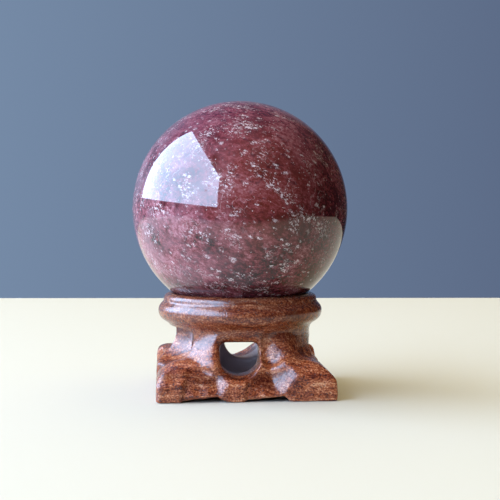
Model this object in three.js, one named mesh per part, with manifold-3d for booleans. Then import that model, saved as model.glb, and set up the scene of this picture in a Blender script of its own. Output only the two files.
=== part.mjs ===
// A polished stone sphere resting in a carved hardwood stand, in millimetres, +Z up.
// The origin is on the sphere's axis, level with the undersides of the stand's feet.
// The stand is one block of wood: a turned ring and neck on a square foot, bored out from top to
// bottom, pierced through each side and scooped between its feet. The front faces -Y.
import * as THREE from "three";
import { mergeVertices } from "three/addons/utils/BufferGeometryUtils.js";
import Module from "manifold-3d";

const wasm = await Module();
wasm.setup();

// Driving dimensions
const SPHERE_RADIUS = 30;
const SPHERE_SIDES = 56;
const SPHERE_BANDS = 28;
const SEAT_GAP = 0.3; // between the sphere and the dished seat under it
const SEAT_RADIUS = 19.4; // where the dish meets the top of the lip
const STAND_HEIGHT = 27.4;
const BORE_RADIUS = 13; // the hole down through the middle of the stand
const TURNED_SIDES = 64;

// The turned ring in section: a lip round the seat, a bead below it, and a cove down to the foot
const LIP = { radius: SEAT_RADIUS, height: 25.8, round: 1.6 };
const BEAD = { radius: 19.9, height: 22.3, round: 2.9 };
const COVE = { radius: 24.2, height: 15.3, round: 5 };

// The square foot: upright walls, then shoulders sloping inwards up to its height
const FOOT = { half: 24, cornerRound: 1.5, height: 10.5, slope: 51 };
const CORNERS = [[24.3, 24], [-22.9, 24], [-24, -24], [24, -24]]; // it is a little out of square
// Front, right, back and left sides: the wall's heights at its left and right ends, which way it
// faces, in degrees from the front, and how far it stands inside the square
const SIDES = [
  { walls: [5.2, 7], turn: 0, inset: 0 },
  { walls: [5.8, 8], turn: 90, inset: 0 },
  { walls: [8, 9.2], turn: 180, inset: 0 },
  { walls: [9.2, 5.4], turn: 268.7, inset: 0.5 },
];

// Openings through the sides, in the order front, right, back. Each is off the middle of its side
// by at, and turned away from square by turn, in degrees. Below height it is a half circle.
const HOLES = [
  { at: -1.5, height: 10.8, halfWidth: 5.3, top: 15.7, turn: 0 },
  { at: -1.2, height: 11.2, halfWidth: 5.3, top: 16.4, turn: 0 },
  { at: -2.8, height: 12.6, halfWidth: 5.5, top: 17.6, turn: 8 },
];
const HOLE_CORNER = 3; // rounding of a hole's two upper corners

// The left side is opened by a broad scoop that breaks into the bore
const LEFT_SCOOP = { x: -24.1, y: -5, z: 14.5, radius: 13, halfHeight: 6.3 };

// Scoops between the feet of one side, seen from above: along the side from left to right, and
// how deep. Each starts steeply and deepens up to a slanted flank.
const SCOOPS = [
  [[-17.2, 0], [-16.6, 1.5], [-8.2, 2.2], [-4, 0]],
  [[-0.4, 0], [0.3, 0.9], [8.7, 2.4], [12.6, 0]],
];
const ARCH_RISE = { start: 0.4, end: 1.4 }; // clearance under the wood in a scoop

const STONE = new THREE.MeshStandardMaterial({ color: 0x6e3e45, roughness: 0.08, metalness: 0 });
const ROSEWOOD = new THREE.MeshStandardMaterial({ color: 0x7a4430, roughness: 0.35, metalness: 0 });

// The closed solid of a three.js geometry, ready to be cut or joined
function solid(geometry) {
  const bare = geometry.index ? geometry.toNonIndexed() : geometry.clone();
  bare.deleteAttribute("normal");
  bare.deleteAttribute("uv");
  const merged = mergeVertices(bare, 1e-4);
  return new wasm.Manifold(
    new wasm.Mesh({
      numProp: 3,
      vertProperties: merged.attributes.position.array,
      triVerts: new Uint32Array(merged.index.array),
    }),
  );
}

// A finished piece from its solid
function piece(name, cut, material) {
  const mesh = cut.getMesh();
  const geometry = new THREE.BufferGeometry();
  geometry.setAttribute("position", new THREE.BufferAttribute(mesh.vertProperties, 3));
  geometry.setIndex(new THREE.BufferAttribute(mesh.triVerts, 1));
  const result = new THREE.Mesh(geometry, material);
  result.name = name;
  return result;
}

// Points on an arc of the section, angles in degrees up from the outward direction
function arc(centre, from, to, steps) {
  return Array.from({ length: steps + 1 }, (_, i) => {
    const angle = THREE.MathUtils.degToRad(from + ((to - from) * i) / steps);
    return new THREE.Vector2(
      centre.radius + centre.round * Math.cos(angle),
      centre.height + centre.round * Math.sin(angle),
    );
  });
}

// A section of radius and height turned about Z, listed from the bottom of the axis to its top
function turned(points) {
  const geometry = new THREE.LatheGeometry(points, TURNED_SIDES);
  geometry.rotateX(Math.PI / 2);
  return solid(geometry);
}

// A closed outline of two coordinates, as a shape
function outlineShape(points) {
  return new THREE.Shape(points.map(([x, y]) => new THREE.Vector2(x, y)));
}

// A shape seen from above, extruded from one height up to another
function column(shape, low, high) {
  const geometry = new THREE.ExtrudeGeometry(shape, {
    depth: high - low,
    curveSegments: 4,
    bevelEnabled: false,
  });
  geometry.translate(0, 0, low);
  return solid(geometry);
}

// A shape seen from the front, extruded from the stand's axis out through the front
function drill(shape, turn) {
  const depth = FOOT.half + 12;
  const geometry = new THREE.ExtrudeGeometry(shape, {
    depth,
    curveSegments: 10,
    bevelEnabled: false,
  });
  geometry.rotateX(Math.PI / 2);
  geometry.rotateZ(THREE.MathUtils.degToRad(turn));
  return solid(geometry);
}

// Height of the sphere's centre when it rests on the seat
const sphereHeight = STAND_HEIGHT + Math.sqrt((SPHERE_RADIUS + SEAT_GAP) ** 2 - SEAT_RADIUS ** 2);

function sphere() {
  const geometry = new THREE.SphereGeometry(SPHERE_RADIUS, SPHERE_SIDES, SPHERE_BANDS);
  geometry.rotateX(Math.PI / 2);
  geometry.translate(0, 0, sphereHeight);
  return solid(geometry);
}

// The outside of the lip, bead and cove, solid down into the foot
function turnedTop() {
  return turned([
    new THREE.Vector2(0, FOOT.height / 2),
    new THREE.Vector2(19.5, FOOT.height / 2),
    new THREE.Vector2(20.6, FOOT.height - 1),
    ...arc(COVE, 246, 132, 9),
    ...arc(BEAD, -60, 55, 8),
    ...arc(LIP, -12, 90, 5),
    new THREE.Vector2(0, STAND_HEIGHT),
  ]);
}

// What is cut off one side of the foot to slope its shoulder, as if the side were the front
function shoulderCutter([leftWall, rightWall]) {
  const { half, slope } = FOOT;
  const geometry = new THREE.BoxGeometry(120, 80, 40);
  geometry.translate(0, 0, 20);
  geometry.rotateX(THREE.MathUtils.degToRad(slope));
  geometry.rotateY(-Math.atan((rightWall - leftWall) / (2 * half)));
  geometry.translate(0, -half, (leftWall + rightWall) / 2);
  return solid(geometry);
}

// One opening with a round lower half, upright sides and a flatter top
function holeCutter({ at, height, halfWidth, top, turn }) {
  const shape = new THREE.Shape();
  const corner = halfWidth - HOLE_CORNER;
  shape.absarc(at, height, halfWidth, Math.PI, 2 * Math.PI);
  shape.absarc(at + corner, top - HOLE_CORNER, HOLE_CORNER, 0, Math.PI / 2);
  shape.absarc(at - corner, top - HOLE_CORNER, HOLE_CORNER, Math.PI / 2, Math.PI);
  return drill(shape, turn);
}

// The broad scoop in the left side
function leftScoopCutter() {
  const { x, y, z, radius, halfHeight } = LEFT_SCOOP;
  const geometry = new THREE.SphereGeometry(radius, 40, 20);
  geometry.rotateX(Math.PI / 2);
  geometry.scale(1, 1, halfHeight / radius);
  geometry.translate(x, y, z);
  return solid(geometry);
}

// One scoop between two feet of the front, with the low arch under it
function scoopCutter(outline) {
  const [[start], , [deepest], [end]] = outline;
  const face = -FOOT.half;
  const wall = outline.map(([along, depth]) => [along, face + depth]).toReversed();
  const scoop = outlineShape([[start, face - 1], [end, face - 1], ...wall]);
  const { start: low, end: high } = ARCH_RISE;
  const arch = outlineShape([[start, -1], [end - 1, -1], [deepest, high], [start + 0.6, low]]);
  return column(scoop, -1, FOOT.height + 0.1).add(drill(arch, 0));
}

// The square block of the foot, sloped on each side and scooped alike on all four
function foot() {
  const { cornerRound: round, height } = FOOT;
  const outline = new THREE.Shape();
  CORNERS.forEach(([x, y], i) => {
    const from = (i * Math.PI) / 2;
    const centre = [x - Math.sign(x) * round, y - Math.sign(y) * round];
    outline.absarc(...centre, round, from, from + Math.PI / 2);
  });
  let block = column(outline, 0, height);
  for (const { walls, turn, inset } of SIDES) {
    const cutters = [shoulderCutter(walls), ...SCOOPS.map(scoopCutter)];
    for (const cutter of cutters) {
      block = block.subtract(cutter.translate([0, inset, 0]).rotate([0, 0, turn]));
    }
  }
  return block;
}

// The space down through the stand: the bore and the dished seat above it
function bore() {
  const dish = [BORE_RADIUS, 14.7, 16.3, 17.9, SEAT_RADIUS, 21].map((radius) => {
    const drop = Math.sqrt((SPHERE_RADIUS + SEAT_GAP) ** 2 - radius ** 2);
    return new THREE.Vector2(radius, sphereHeight - drop);
  });
  return turned([
    new THREE.Vector2(0, -1),
    new THREE.Vector2(BORE_RADIUS, -1),
    ...dish,
    new THREE.Vector2(0, sphereHeight),
  ]);
}

function stand() {
  let body = turnedTop().add(foot()).subtract(bore()).subtract(leftScoopCutter());
  HOLES.forEach((hole, side) => {
    body = body.subtract(holeCutter(hole).rotate([0, 0, side * 90]));
  });
  return body;
}

const part = new THREE.Group();
part.add(piece("sphere", sphere(), STONE));
part.add(piece("stand", stand(), ROSEWOOD));

export default part;
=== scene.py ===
"""A polished stone sphere resting in a carved rosewood stand."""
import math

import bmesh
import bpy
import numpy as np
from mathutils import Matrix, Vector


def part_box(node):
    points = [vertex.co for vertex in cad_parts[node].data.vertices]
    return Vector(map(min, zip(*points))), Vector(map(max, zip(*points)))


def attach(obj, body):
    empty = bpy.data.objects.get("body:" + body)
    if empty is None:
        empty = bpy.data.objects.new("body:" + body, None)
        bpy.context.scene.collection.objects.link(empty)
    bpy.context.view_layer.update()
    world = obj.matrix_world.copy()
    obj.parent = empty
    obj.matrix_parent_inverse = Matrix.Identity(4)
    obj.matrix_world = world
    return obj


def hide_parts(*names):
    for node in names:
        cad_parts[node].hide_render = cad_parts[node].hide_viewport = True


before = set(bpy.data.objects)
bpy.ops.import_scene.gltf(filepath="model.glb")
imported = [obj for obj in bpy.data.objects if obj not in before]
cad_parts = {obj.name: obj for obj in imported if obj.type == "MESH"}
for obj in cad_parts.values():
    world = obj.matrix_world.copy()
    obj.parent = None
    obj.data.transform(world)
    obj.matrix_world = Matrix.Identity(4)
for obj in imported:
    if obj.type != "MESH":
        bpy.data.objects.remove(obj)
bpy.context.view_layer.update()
MM = 0.001


# The sphere
# It is one ball of dark plum quartz, ground round and polished to a mirror gloss. It
# isn't fixed: its own weight holds it in the dish at the top of the stand.
ball_low, ball_high = (Vector(corner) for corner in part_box("sphere"))
ball_radius = (ball_high.x - ball_low.x) / 2
ball_centre = Vector((0, 0, ball_high.z - ball_radius))


class Shade:
    """A number, colour or direction on its way through a finish."""

    def __init__(self, tree, socket=None):
        self.tree, self.socket = tree, socket

    def node(self, kind, settings, sockets, out=0):
        """One node of any kind: its settings first, then what goes into its sockets."""
        made = self.tree.nodes.new(kind)
        for name, value in settings.items():
            if name == "stops":
                ramp = made.color_ramp.elements
                while len(ramp) < len(value):
                    ramp.new(0.5)
                for stop, (place, tint) in zip(ramp, value):
                    stop.position, stop.color = place, (*tint, 1)
            else:
                setattr(made, name, value)
        for name, value in sockets.items():
            if isinstance(value, Shade):
                self.tree.links.new(value.socket, made.inputs[name])
            else:
                made.inputs[name].default_value = value
        return Shade(self.tree, made.outputs[out])

    def sum(self, operation, first, second):
        return self.node("ShaderNodeMath", {"operation": operation}, {0: first, 1: second})

    def __add__(self, other):
        return self.sum("ADD", self, other)

    def __sub__(self, other):
        return self.sum("SUBTRACT", self, other)

    def __rsub__(self, other):
        return self.sum("SUBTRACT", other, self)

    def __mul__(self, other):
        return self.sum("MULTIPLY", self, other)

    __radd__, __rmul__ = __add__, __mul__

    def over(self, other):
        """Whichever is higher."""
        return self.sum("MAXIMUM", self, other)

    def between(self, low, high):
        """0 at low, 1 at high and smooth between them."""
        sockets = {"Value": self, "From Min": low, "From Max": high}
        return self.node("ShaderNodeMapRange", {"interpolation_type": "SMOOTHSTEP"}, sockets)

    def pick(self, tint, other):
        """The first colour where this is 0, the other where it is 1."""
        return self.node("ShaderNodeMix", {"data_type": "RGBA"}, {0: self, 6: tint, 7: other}, 2)

    def ramp(self, *stops):
        return self.node("ShaderNodeValToRGB", {"stops": stops}, {"Fac": self})

    def drawn_out(self, scale, turn=(0, 0, 0)):
        """This place, turned and then scaled, so that what is laid on it comes out longer."""
        turned = self.node("ShaderNodeVectorRotate", {"rotation_type": "EULER_XYZ"},
                           {"Vector": self, "Rotation": turn})
        return self.node("ShaderNodeVectorMath", {"operation": "MULTIPLY"}, {0: turned, 1: scale})

    def stirred(self, scale, reach):
        """This place, pushed about by up to half this reach."""
        cloud = self.node("ShaderNodeTexNoise", {}, {"Vector": self, "Scale": scale}, 1)
        push = self.node("ShaderNodeVectorMath", {"operation": "MULTIPLY_ADD"},
                         {0: cloud, 1: (reach,) * 3, 2: (-reach / 2,) * 3})
        return self.node("ShaderNodeVectorMath", {"operation": "ADD"}, {0: self, 1: push})

    def clouds(self, scale, detail=3.0, roughness=0.5):
        """Cloudy variation about 0.5, with this many lumps to a metre."""
        sockets = {"Vector": self, "Scale": scale, "Detail": detail, "Roughness": roughness}
        return self.node("ShaderNodeTexNoise", {}, sockets)

    def grains(self, scale, size, rare):
        """Scattered grains, this many to a metre and this wide; a higher rare leaves fewer."""
        near = self.node("ShaderNodeTexVoronoi", {}, {"Vector": self, "Scale": scale})
        chance = Shade(self.tree, near.socket.node.outputs["Color"])
        return near.between(size, size * 0.45) * chance.between(rare, rare + 0.05)

    def along(self, direction):
        """How far this place or direction lies along another direction."""
        return self.node("ShaderNodeVectorMath", {"operation": "DOT_PRODUCT"},
                         {0: self, 1: tuple(direction)}, 1)

    def into(self, shader, name):
        self.tree.links.new(self.socket, shader.inputs[name])


def new_finish(name, **constants):
    """A new material, the place on the piece, and the material's shader."""
    material = bpy.data.materials.new(name)
    material.use_nodes = True
    tree = material.node_tree
    shader = tree.nodes["Principled BSDF"]
    for socket, value in constants.items():
        shader.inputs[socket.replace("_", " ")].default_value = value
    return material, Shade(tree).node("ShaderNodeTexCoord", {}, {}, 3), shader


# The stone is a fine-grained mix of plum and brick red. White flakes lie in it in broken strings,
# drawn out along one bedding direction. Its left is painted a milky pink: painted light.
PLUM_TONES = [
    (0.42, (0.016, 0.002, 0.004)), (0.46, (0.075, 0.009, 0.013)), (0.51, (0.168, 0.029, 0.038)),
    (0.55, (0.255, 0.058, 0.074)), (0.63, (0.460, 0.195, 0.225))]
BRICK_RED = (0.215, 0.038, 0.020, 1)
SHADOW_PLUM = (0.018, 0.003, 0.006, 1)
FLAKE_WHITE = (0.900, 0.780, 0.800, 1)
PAINTED_LIGHT_PINK = (0.380, 0.185, 0.225, 1)
RIGHT_SHADE_PLUM = (0.034, 0.006, 0.010, 1)
TOP_SHADE_VIOLET = (0.075, 0.016, 0.048, 1)
SEAT_SHADE = (0.016, 0.003, 0.008, 1)
BEDDING = (0, -0.42, 0)
BRICK_CENTRE, BRICK_REACH = (0.004, -0.026, 0.060), 0.026

stone, at, polish = new_finish("plum_quartz", IOR=1.55)
bedded = at.drawn_out((0.6, 1, 1), BEDDING)
flakes = bedded.clouds(1200, 5, 0.82)
patches = (at.clouds(75, 3, 0.55) - 0.5) * 0.42 + (bedded.clouds(260, 3, 0.6) - 0.5) * 0.25
depth = flakes * 0.66 + 0.17 + patches
body = depth.ramp(*PLUM_TONES)
off_centre = at.node("ShaderNodeVectorMath", {"operation": "DISTANCE"},
                     {0: at.stirred(120, 0.012), 1: BRICK_CENTRE}, 1)
brick = off_centre.between(BRICK_REACH, BRICK_REACH * 0.3) * 0.5
body = brick.pick(body, BRICK_RED)
shadows = bedded.clouds(500, 4, 0.7).between(0.43, 0.36)
body = (shadows * 0.5).pick(body, SHADOW_PLUM)

# Towards the right the flakes thin out and the stone is painted darker: painted shade
right_side_shade = at.along((1, 0, 0.25)).between(0.014, 0.038)
gathered = (bedded.clouds(170, 4, 0.65) - right_side_shade * 0.05).between(0.53, 0.62)
shards = at.stirred(700, 0.0007).drawn_out((0.5, 1, 1), BEDDING).clouds(1900, 3, 0.8)
clumps = shards.between(0.52, 0.60) * gathered
torn = at.stirred(1900, 0.0011).drawn_out((0.42, 1, 1), BEDDING)
slivers = torn.grains(560, 0.34, 0.74).over(torn.grains(830, 0.36, 0.71))
slivers = slivers * at.clouds(3000, 2, 0.8).between(0.44, 0.52)
points = at.stirred(2600, 0.0006).grains(1300, 0.27, 0.7)
middle = at.stirred(300, 0.002).clouds(420, 2) - 0.5
threads = middle.sum("ABSOLUTE", middle, 0.0).between(0.016, 0.004)
threads = threads * at.clouds(160, 2).between(0.52, 0.62)
pale = (clumps * 0.8).over(slivers * (0.8 + 0.2 * gathered)).over(points * 0.55)
pale = pale.over(threads * 0.35)
body = pale.pick(body, FLAKE_WHITE)
# Broad tints over the whole: painted light at the left, painted shade at the top and painted shade
# next to the seat
# Painted light: the left of the ball, towards the side light, is painted a paler milky pink
painted_side_light = at.stirred(90, 0.006).clouds(110, 5, 0.7).between(0.36, 0.64)
painted_side_light = painted_side_light * at.along((1, 0, 0)).between(0.012, -0.026)
body = (painted_side_light * 0.45).pick(body, PAINTED_LIGHT_PINK)
# Painted shade: the right of the ball is painted a darker plum
body = (right_side_shade * 0.6).pick(body, RIGHT_SHADE_PLUM)
# Painted shade: the top of the ball is painted a darker violet
top_shade = at.along((-0.4, 0, 0.92)).between(0.056, 0.078)
body = (top_shade * 0.5).pick(body, TOP_SHADE_VIOLET)
seat = at.along((0, 0, 1)).between(0.0345, 0.0285)
body = (seat * 0.6).pick(body, SEAT_SHADE)
body.into(polish, "Base Color")
pits = at.grains(620, 0.26, 0.7)
(0.03 + pits * 0.6).into(polish, "Roughness")

ROUNDNESS = 7
ball_mesh = bpy.data.meshes.new("stone_ball")
form = bmesh.new()
bmesh.ops.create_icosphere(form, subdivisions=ROUNDNESS, radius=ball_radius)
bmesh.ops.translate(form, verts=form.verts, vec=ball_centre)
for face in form.faces:
    face.smooth = True
form.to_mesh(ball_mesh)
form.free()
ball_mesh.materials.append(stone)
ball = bpy.data.objects.new("stone_ball", ball_mesh)
bpy.context.collection.objects.link(ball)
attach(ball, "root")
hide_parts("sphere")


# The stand
# It is one block of rosewood. Its lip, bead and neck are turned on a lathe and it is bored
# through; the holes, the feet and the scoops between them are then cut by hand with a gouge.
# Every form below gives the distance in mm to its surface, less than nothing inside the wood.
LIP = dict(radius=19.7, height=25.6, round=1.7, ends=(-14, 82))
BEAD = dict(radius=19.95, height=22.35, round=2.95, ends=(-56, 52))
# The neck's radius at each height, and how much thicker it is towards the right
NECK = [(4.0, 19.2), (9.5, 20.8), (10.6, 20.9), (11.8, 20.2), (13.2, 19.6), (15.0, 19.25),
        (16.6, 19.2), (17.6, 19.35), (18.4, 19.7), (19.1, 20.3)]
NECK_SWELL = dict(most=0.25, height=15, spread=2.6)
# Where the neck flares into the foot: degrees round from the front, spread, and mm for each mm down
LEGS = [(-24, 16, 0.35), (30, 14, 0.48), (142, 20, 0.2), (-142, 20, 0.2)]
LEG_TOP, LEG_LENGTH, RING_BOTTOM = 17.8, 9, 6.5
STAND_HEIGHT, BORE_RADIUS, SEAT_GAP = 27.4, 13.0, 0.08
FOOT_HALF, FOOT_HEIGHT = 24.0, 10.5
SHOULDER_TILT, CROWN_TILT = 39, 56
# The sides, each with its wall's height along it, as seen from outside. They are a little out of
# square. An edge is softer at one end than at the other, so soft is given for its left and right.
SIDES = [
    dict(walls=[(-24, 4.4), (-17, 4.9), (-8, 6.2), (12, 7.2), (24, 6.2)], turn=0.0, inset=0.0,
         crown=1.6, soft=(0.5, 0.7)),
    dict(walls=[(-24, 5.6), (10, 6.1), (19, 6.3), (22, 8.3), (24, 8.8)], turn=90.36, inset=-0.15,
         crown=0.8, soft=(1.4, 0.8)),
    dict(walls=[(-24, 9.0), (24, 9.2)], turn=180.0, inset=0.0, crown=1.6, soft=(1.0, 1.0)),
    dict(walls=[(-24, 9.2), (24, 5.4)], turn=268.7, inset=0.55, crown=1.6, soft=(1.0, 1.0)),
]
# The openings: a half circle below height, flatter on top, and flared towards the outside
HOLES = [
    dict(at=-1.5, height=10.8, half=5.3, top=15.0, corner=1.9, turn=0.0, flare=2.0, lip=1.0,
         soft=(2.6, 0.6)),
    dict(at=-1.2, height=10.4, half=5.0, top=14.4, corner=3.0, turn=90.0, flare=0.0, lip=0.0,
         soft=(1.2, 1.2)),
    dict(at=-5.8, height=12.6, half=5.5, top=17.4, corner=3.0, turn=196.6, flare=0.6, lip=0.0,
         soft=(1.2, 1.2)),
]
HOLE_START, FLARE_START, FLARE_LENGTH, LIP_END, LIP_LENGTH = 6, 16, 3, 23.2, 3.5
# The two hollows between the feet of each side, from left to right
SCOOPS = [
    dict(start=-17.1, end=-4.9, depths=[(-17, 1.0), (-15, 1.4), (-8, 2.0)], edge=0.6, rise=-7.7),
    dict(start=-0.4, end=11.7, depths=[(-0.4, 0.7), (2, 1.6), (7, 3.1)], edge=0.6, rise=10.0),
]
LEFT_END, FLANK = dict(facing=58, tilt=-4), dict(facing=-28, tilt=17)
# A scoop is deepest at the top: from this height, over this rise, by this much
DEEPENING = dict(start=1.4, rise=7.6, most=1.2)
# One sweep of the gouge above the front's left foot, and one beside its opening
GROOVE = dict(out=22.7, height=8.3, radius=2.0, left=-16.4, right=-8.6)
MARK = dict(through=(9.2, 19.35, 12.6), facing=-22, tilt=12, centre=(7.5, -18.6, 12.6),
            radii=(3.4, 3.5, 4.4))
LEFT_SCOOP = dict(x=-24.1, y=-5.0, radius=13.1, height=16.5, up=1.9, down=9.2, square=2.8)
GOUGE_RIPPLE = 0.07


def keep_both(a, b, soft):
    """Wood only where both forms have it, with the edge between them rounded over."""
    reach = np.maximum(soft - np.abs(a - b), 0) / soft
    return np.maximum(a, b) + reach * reach * soft / 4


def join(a, b, soft):
    """Wood where either form has it, with a hollow fillet between them."""
    return -keep_both(-a, -b, soft)


def cut(wood, away, soft):
    """The wood less what is cut away."""
    return keep_both(wood, -away, soft)


def plane(x, y, z, through, facing, tilt):
    """A flat cut through a point: it faces this far round from the front, and this far up."""
    facing, tilt = math.radians(facing), math.radians(tilt)
    ahead = (math.sin(facing) * math.cos(tilt), math.cos(facing) * math.cos(tilt), math.sin(tilt))
    return sum(n * (p - q) for n, p, q in zip(ahead, (x, y, z), through))


def arc(rim, steps):
    """Heights and radii along the rounded edge of a rim."""
    turn = np.radians(np.linspace(*rim["ends"], steps))
    return np.stack([rim["height"] + rim["round"] * np.sin(turn),
                     rim["radius"] + rim["round"] * np.cos(turn)], 1)


def turned_ring(x, y, z):
    """The lip, bead and neck, with the neck flaring into the four legs."""
    heights, radii = np.concatenate([NECK, arc(BEAD, 20), arc(LIP, 14)]).T
    fine = np.linspace(NECK[0][0], STAND_HEIGHT, 400)
    outline = np.interp(fine, heights, radii)
    outline = np.convolve(np.pad(outline, 5, "edge"), np.ones(11) / 11, "valid")
    lean = np.clip(np.gradient(outline, fine), -2.5, 2.5)
    around = np.hypot(x, y)
    level = (z - NECK_SWELL["height"]) / NECK_SWELL["spread"]
    thicker = NECK_SWELL["most"] * x / np.maximum(around, 1) * np.exp(-level ** 2)
    for facing, spread, flare in LEGS:
        off = np.degrees(np.arctan2(x, -y)) - facing
        off = (off + 180) % 360 - 180
        down = np.clip(LEG_TOP - z, 0, LEG_LENGTH)
        thicker = thicker + flare * np.exp(-(off / spread) ** 2) * down
    slope = np.interp(z, fine, lean)
    wood = (around - np.interp(z, fine, outline) - thicker) / np.sqrt(1 + slope * slope)
    wood = keep_both(wood, z - STAND_HEIGHT, 0.7)
    return keep_both(wood, RING_BOTTOM - z, 0.3)


def from_side(x, y, turn):
    """Along a side from left to right, and outwards through it."""
    cos, sin = math.cos(math.radians(turn)), math.sin(math.radians(turn))
    return x * cos + y * sin, x * sin - y * cos


def square_foot(x, y, z):
    """Upright walls, and above them a steep shoulder and a flatter crown on each side."""
    wood = z - FOOT_HEIGHT
    for side in SIDES:
        along, out = from_side(x, y, side["turn"])
        out = out + side["inset"]
        wall_height = np.interp(along, *zip(*side["walls"]))
        soft = np.interp(along, (-FOOT_HALF, FOOT_HALF), side["soft"])
        steep = plane(0, out, z, (0, FOOT_HALF, wall_height), 0, SHOULDER_TILT)
        flat = plane(0, out, z, (0, FOOT_HALF, wall_height + side["crown"]), 0, CROWN_TILT)
        face = keep_both(out - FOOT_HALF, steep, soft)
        wood = keep_both(wood, keep_both(face, flat, soft), 1.3)
    return wood


def scoop_between_feet(along, out, z, scoop):
    """A hollow with a steep left end, and a slanted flank at its right that faces the left."""
    risen = np.clip((z - DEEPENING["start"]) / DEEPENING["rise"], 0, 1)
    deeper_up = DEEPENING["most"] * np.sin(risen * math.pi / 2)
    edge = scoop["edge"] * np.clip(1 - (along - scoop["start"]) / 7, 0, 1)
    depth = (np.interp(along, *zip(*scoop["depths"])) * deeper_up
             + edge * (1 - deeper_up / DEEPENING["most"]))
    floor = (FOOT_HALF - out - depth) * 0.9
    left = -plane(along, out, z, (scoop["start"], FOOT_HALF, 3), **LEFT_END)
    flank = -plane(along, out, z, (scoop["end"], FOOT_HALF, 4.5), **FLANK)
    return keep_both(keep_both(floor, flank, 0.3), left, 0.5)


def scooped_foot(x, y, z):
    """The foot with its scoops, the low arches under them, and the marks of cutting by hand."""
    wood = square_foot(x, y, z)
    for side in SIDES:
        along, out = from_side(x, y, side["turn"])
        out = out + side["inset"]
        for scoop in SCOOPS:
            wood = cut(wood, scoop_between_feet(along, out, z, scoop), 0.4)
            start, end = scoop["start"], scoop["end"]
            rise = np.interp(along, [start - 2, start + 0.6, scoop["rise"], end + 0.5, end + 3],
                             [-3, 0.3, 1.3, -0.6, -4])
            wood = cut(wood, np.maximum(z - rise, 8 - out), 1.2)
    groove = np.hypot(-y - GROOVE["out"], (z - GROOVE["height"]) * 1.1) - GROOVE["radius"]
    ends = np.maximum(GROOVE["left"] - x, x - GROOVE["right"])
    wood = cut(wood, keep_both(groove, ends, 2.0), 0.6)
    ripple = GOUGE_RIPPLE * np.sin(x * 1.3 + z * 0.7) * np.sin(y * 1.1 - z * 1.2 + x * 0.3)
    return keep_both(wood + ripple, -z, 0.5)


def side_hole(x, y, z, hole):
    """One opening, its top flaring and its lower edge sinking towards the outside."""
    along, out = from_side(x, y, hole["turn"])
    flare = np.clip((out - FLARE_START) / FLARE_LENGTH, 0, 1.2)
    top = hole["top"] + hole["flare"] * flare * flare
    across = np.abs(along - hole["at"])
    drop = hole["half"] - hole["lip"] * np.clip((LIP_END - out) / LIP_LENGTH, 0, 1)
    below = np.hypot(along - hole["at"], (z - hole["height"]) * hole["half"] / drop) - hole["half"]
    beyond_x = across - (hole["half"] - hole["corner"])
    beyond_z = z - top + hole["corner"]
    box = (np.hypot(np.maximum(beyond_x, 0), np.maximum(beyond_z, 0))
           + np.minimum(np.maximum(beyond_x, beyond_z), 0) - hole["corner"])
    return np.maximum(np.where(z < hole["height"], below, box), HOLE_START - out)


def egg(x, y, z, centre, radii):
    """An egg shape round a centre, with these radii along x, y and z."""
    parts = [(p - q) / r for p, q, r in zip((x, y, z), centre, radii)]
    size = np.sqrt(sum(part ** 2 for part in parts)) + 1e-9
    pull = np.sqrt(sum((part / r) ** 2 for part, r in zip(parts, radii))) + 1e-9
    return size * (size - 1) / pull


def left_scoop(x, y, z):
    """The broad cut in the left side: it stops short under the bead and reaches far down."""
    high = z - LEFT_SCOOP["height"]
    square = LEFT_SCOOP["square"]
    round_about = np.hypot(x - LEFT_SCOOP["x"], y - LEFT_SCOOP["y"]) / LEFT_SCOOP["radius"]
    up_and_down = np.abs(high) / np.where(high > 0, LEFT_SCOOP["up"], LEFT_SCOOP["down"])
    return ((round_about ** square + up_and_down ** square) ** (1 / square) - 1) * 6.0


def carved_stand(x, y, z):
    """The whole stand."""
    wood = join(turned_ring(x, y, z), scooped_foot(x, y, z), 0.9)
    mark = -plane(x, -y, z, MARK["through"], MARK["facing"], MARK["tilt"])
    mark = keep_both(mark, egg(x, y, z, MARK["centre"], MARK["radii"]), 2.5)
    wood = cut(wood, mark, 2.4)
    wood = cut(wood, left_scoop(x, y, z), 0.5)
    wood = cut(wood, np.hypot(x, y) - BORE_RADIUS, 0.8)
    for hole in HOLES:
        along = from_side(x, y, hole["turn"])[0] - hole["at"]
        soft = np.interp(along, (-hole["half"], hole["half"]), hole["soft"])
        wood = cut(wood, side_hole(x, y, z, hole), soft)
    rest = z - ball_centre.z / MM
    dish = np.sqrt(x * x + y * y + rest * rest) - ball_radius / MM - SEAT_GAP
    return cut(wood, dish, 0.5)


def surface_of(form, low, high, step):
    """Points and four-sided faces on a form's surface, one point to each cell it passes."""
    axes = [np.arange(a, b + step, step) for a, b in zip(low, high)]
    value = np.stack([form(axes[0][:, None], axes[1][None, :], height)
                      for height in axes[2]], -1)
    wood = value < 0
    shape = tuple(n - 1 for n in value.shape)
    total, count = np.zeros((*shape, 3)), np.zeros(shape)
    edges = []
    for axis in range(3):
        ends = [slice(None)] * 3
        starts = list(ends)
        ends[axis], starts[axis] = slice(1, None), slice(None, -1)
        a, b = value[tuple(starts)], value[tuple(ends)]
        crossed = np.argwhere((a < 0) != (b < 0))
        where = tuple(crossed.T)
        share = a[where] / (a[where] - b[where])
        point = crossed.astype(float)
        point[:, axis] += share
        others = [k for k in range(3) if k != axis]
        around = []
        for i, j in ((0, 0), (1, 0), (1, 1), (0, 1)):
            cell = crossed.copy()
            cell[:, others[0]] -= i
            cell[:, others[1]] -= j
            around.append(cell)
            np.add.at(total, tuple(cell.T), point)
            np.add.at(count, tuple(cell.T), 1)
        edges.append((axis, wood[tuple(starts)][where], around))
    used = count > 0
    index = np.cumsum(used.ravel()).reshape(shape) - 1
    points = total[used] / count[used][:, None] * step + np.array(low)
    faces = []
    for axis, from_wood, around in edges:
        quads = np.stack([index[tuple(cell.T)] for cell in around], 1)
        flip = from_wood if axis == 1 else ~from_wood
        quads[flip] = quads[flip][:, ::-1]
        faces.append(quads)
    return points, np.concatenate(faces)


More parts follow.
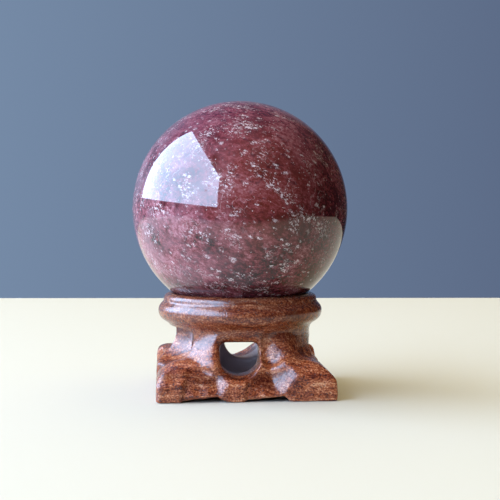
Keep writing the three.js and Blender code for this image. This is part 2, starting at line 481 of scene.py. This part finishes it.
def settle(form, points, reach):
    """Moves points onto the form's true surface."""
    for _ in range(2):
        x, y, z = points.T
        here = form(x, y, z)
        slope = np.stack([
            form(x + reach, y, z) - form(x - reach, y, z),
            form(x, y + reach, z) - form(x, y - reach, z),
            form(x, y, z + reach) - form(x, y, z - reach)], 1) / (2 * reach)
        size = np.maximum((slope ** 2).sum(1), 0.2)
        points = points - slope * np.clip(here / size, -0.2, 0.2)[:, None]
    return points


MESH_STEP = 0.37
points, faces = surface_of(carved_stand, (-26, -26, -0.7), (26, 26, 28), MESH_STEP)
points = settle(carved_stand, points, 0.05)
points[:, 2] = np.maximum(points[:, 2], 0)

stand_mesh = bpy.data.meshes.new("carved_stand")
stand_mesh.vertices.add(len(points))
stand_mesh.vertices.foreach_set("co", (points * MM).astype(np.float32).ravel())
stand_mesh.loops.add(faces.size)
stand_mesh.loops.foreach_set("vertex_index", faces.astype(np.int32).ravel())
stand_mesh.polygons.add(len(faces))
stand_mesh.polygons.foreach_set("loop_start", np.arange(0, faces.size, 4, dtype=np.int32))
stand_mesh.polygons.foreach_set("use_smooth", np.ones(len(faces), bool))
stand_mesh.update(calc_edges=True)
stand_mesh.validate()

# The wood's grain runs from left to right. Its open pores are dark, and fine dark stripes run
# along it. The turned part is darker than the foot. The bore is rougher, and its walls are painted
# a pale grey: painted light.
ROSEWOOD_TONES = [
    (0.41, (0.070, 0.009, 0.004)), (0.46, (0.200, 0.036, 0.012)), (0.51, (0.340, 0.080, 0.028)),
    (0.56, (0.470, 0.145, 0.056)), (0.63, (0.720, 0.370, 0.200))]
STRIPE_BROWN = (0.090, 0.018, 0.010, 1)
HOLLOW_SHADE_BROWN = (0.050, 0.007, 0.003, 1)
PORE_BROWN = (0.022, 0.007, 0.006, 1)
TURNED_BROWN = (0.080, 0.020, 0.013, 1)
BORE_LIGHT_GREY = (0.340, 0.240, 0.250, 1)
BORE_MIDDLE = (0.002, 0.004, 0)

wood, at, wax = new_finish("waxed_rosewood", IOR=1.55)
grain = at.stirred(110, 0.004).drawn_out((0.14, 1, 1))
speckle = at.stirred(1200, 0.0005).drawn_out((0.7, 1, 1)).clouds(2700, 2, 0.6)
figure = grain.clouds(650, 4, 0.7) * 0.5 + speckle * 0.5
tone = figure.ramp(*ROSEWOOD_TONES)
stripe = grain.clouds(260, 3, 0.6).between(0.55, 0.64)
tone = (stripe * 0.6).pick(tone, STRIPE_BROWN)
sideways, lengthways = at.along((1, 0, 0)), at.along((0, 1, 0))
outwards = sideways.sum("ABSOLUTE", sideways, 0).over(lengthways.sum("ABSOLUTE", lengthways, 0))
# Painted shade: the low hollows between the feet are painted darker
hollow = outwards.between(0.0234, 0.0222) * at.along((0, 0, 1)).between(0.0085, 0.0065)
tone = (hollow * 0.5).pick(tone, HOLLOW_SHADE_BROWN)
pores = at.drawn_out((0.7, 1, 1)).grains(2000, 0.42, 0.6)
tone = (pores * 0.75).pick(tone, PORE_BROWN)
turned_part = at.along((0, 0, 1)).between(0.0115, 0.0170)
tone = (turned_part * 0.4).pick(tone, TURNED_BROWN)
# Painted light: the walls of the bore are painted a pale grey
level = at.drawn_out((1, 1, 0))
inside = level.node("ShaderNodeVectorMath", {"operation": "LENGTH"}, {0: level}, 1)
bored = level.node("ShaderNodeVectorMath", {"operation": "DISTANCE"},
                   {0: level, 1: BORE_MIDDLE}, 1)
inside = inside.between(0.0178, 0.0168) * bored.between(0.0165, 0.0145)
tone = (inside * 0.9).pick(tone, BORE_LIGHT_GREY)
tone.into(wax, "Base Color")
nap = at.clouds(2600, 2, 0.7)
(0.07 + nap * 0.06 + pores * 0.22 + inside * 0.3).into(wax, "Roughness")
height = nap * (0.95 - 0.45 * turned_part) + (1 - pores) * 0.4
RELIEF_DEPTH = 0.00014
relief = height.node("ShaderNodeBump", {},
                     {"Strength": 1.0, "Distance": RELIEF_DEPTH, "Height": height})
relief.into(wax, "Normal")

stand_mesh.materials.append(wood)
stand = bpy.data.objects.new("carved_stand", stand_mesh)
bpy.context.collection.objects.link(stand)
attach(stand, "root")
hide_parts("stand")


# The view and the light
# The piece is seen from a little above its feet, nearly square to the front. A broad cool light
# stands at its left, a soft warm one hangs above, and the surroundings are a dim grey-blue.
CAMERA_DISTANCE, CAMERA_HEIGHT = 0.38, 0.0576
CAMERA_DOWN, CAMERA_RIGHTWARDS = 2.789, 0.422
camera_turn = math.radians(4.4)
right = Vector((math.cos(camera_turn), -math.sin(camera_turn), 0))
away = Vector((math.sin(camera_turn), math.cos(camera_turn), 0))
up = Vector((0, 0, 1))


def spot(across, back, height):
    """A point as the camera sees it: across, away from it and up, in metres."""
    return right * across + away * back + up * height


def add(name, data, location, rotation=(0, 0, 0)):
    thing = bpy.data.objects.new(name, data)
    thing.location, thing.rotation_euler = location, rotation
    bpy.context.collection.objects.link(thing)
    return thing


view = bpy.data.cameras.new("view")
view.sensor_width, view.lens = 36, 97.73
view.clip_start, view.clip_end = 0.01, 20
camera = add("view", view, spot(0, -CAMERA_DISTANCE, CAMERA_HEIGHT),
             (math.radians(90 - CAMERA_DOWN), 0, -camera_turn - math.radians(CAMERA_RIGHTWARDS)))
bpy.context.scene.camera = camera


def soft_light(name, size, strength, location, aim, seen_in_gloss):
    """A flat light of this size; strength is how bright its face is, in red, green and blue."""
    data = bpy.data.lights.new(name, "AREA")
    data.shape, data.size, data.size_y = "RECTANGLE", *size
    data.energy = math.pi * size[0] * size[1] * max(strength)
    data.color = [part / max(strength) for part in strength]
    light = add(name, data, location)
    light.rotation_euler = (aim - location).to_track_quat("-Z", "Y").to_euler()
    light.visible_camera = False
    light.visible_glossy, light.visible_diffuse = seen_in_gloss, not seen_in_gloss


# The side light is in two parts, one that the piece is lit by and one that shows in its gloss
side = spot(-0.8, -0.62, 0.73)
soft_light("side_light", size=(2.44, 1.2), strength=(3.9, 5.2, 7.3),
           location=side, aim=side + right, seen_in_gloss=False)
side = spot(-0.79, -0.61, 0.72)
soft_light("side_gleam", size=(2.41, 1.18), strength=(6.9, 9.4, 13.7),
           location=side, aim=side + right, seen_in_gloss=True)
soft_light("top_light", size=(2.2, 2.2), strength=(1.74, 1.49, 0.70),
           location=spot(-0.05, 0.30, 1.2), aim=spot(0, 0, 0), seen_in_gloss=False)

# What lies behind the piece, from left to right, and the dimmer tones in front and overhead
BACKDROP_TONES = [
    (0.0, (0.5, 0.7, 1.0)), (0.1, (0.5, 0.7, 1.0)), (0.4, (0.183, 0.260, 0.388)),
    (0.6, (0.108, 0.148, 0.24)), (0.7, (0.03, 0.03, 0.04)), (1.0, (0.012, 0.01, 0.012))]
FRONT_TONE, OVERHEAD_TONE = (0.03, 0.03, 0.035, 1), (0.12, 0.10, 0.15, 1)
surroundings = bpy.data.worlds.new("surroundings")
surroundings.use_nodes = True
backdrop = surroundings.node_tree.nodes["Background"]
towards = Shade(surroundings.node_tree).node("ShaderNodeTexCoord", {}, {}, 0)
across = towards.along(right) * 0.5 + 0.5
behind = across.ramp(*BACKDROP_TONES)
around = towards.along(away).between(-0.5, 0.4).pick(FRONT_TONE, behind)
above = towards.along(up).between(0.35, 0.8)
around = above.pick(around, OVERHEAD_TONE)
around.into(backdrop, "Color")
bpy.context.scene.world = surroundings

# The floor is painted darker where it comes close to the camera: painted shade
PALE_CREAM, SHADED_CREAM = (0.570, 0.530, 0.452, 1), (0.160, 0.150, 0.130, 1)
floor_mesh = bpy.data.meshes.new("floor")
corners = [(-0.5, -0.25), (0.53, -0.25), (0.53, 0.305), (-0.5, 0.305)]
floor_mesh.from_pydata([spot(x, y, 0) for x, y in corners], [], [(0, 1, 2, 3)])
cream, at, matt = new_finish("pale_floor", Roughness=0.6)
near_shade = at.along(away).between(-0.14, -0.25)
near_shade.pick(PALE_CREAM, SHADED_CREAM).into(matt, "Base Color")
floor_mesh.materials.append(cream)
floor = add("floor", floor_mesh, (0, 0, -0.0001))

bpy.context.scene.view_settings.view_transform = "Standard"
bpy.context.scene.view_settings.look = "None"
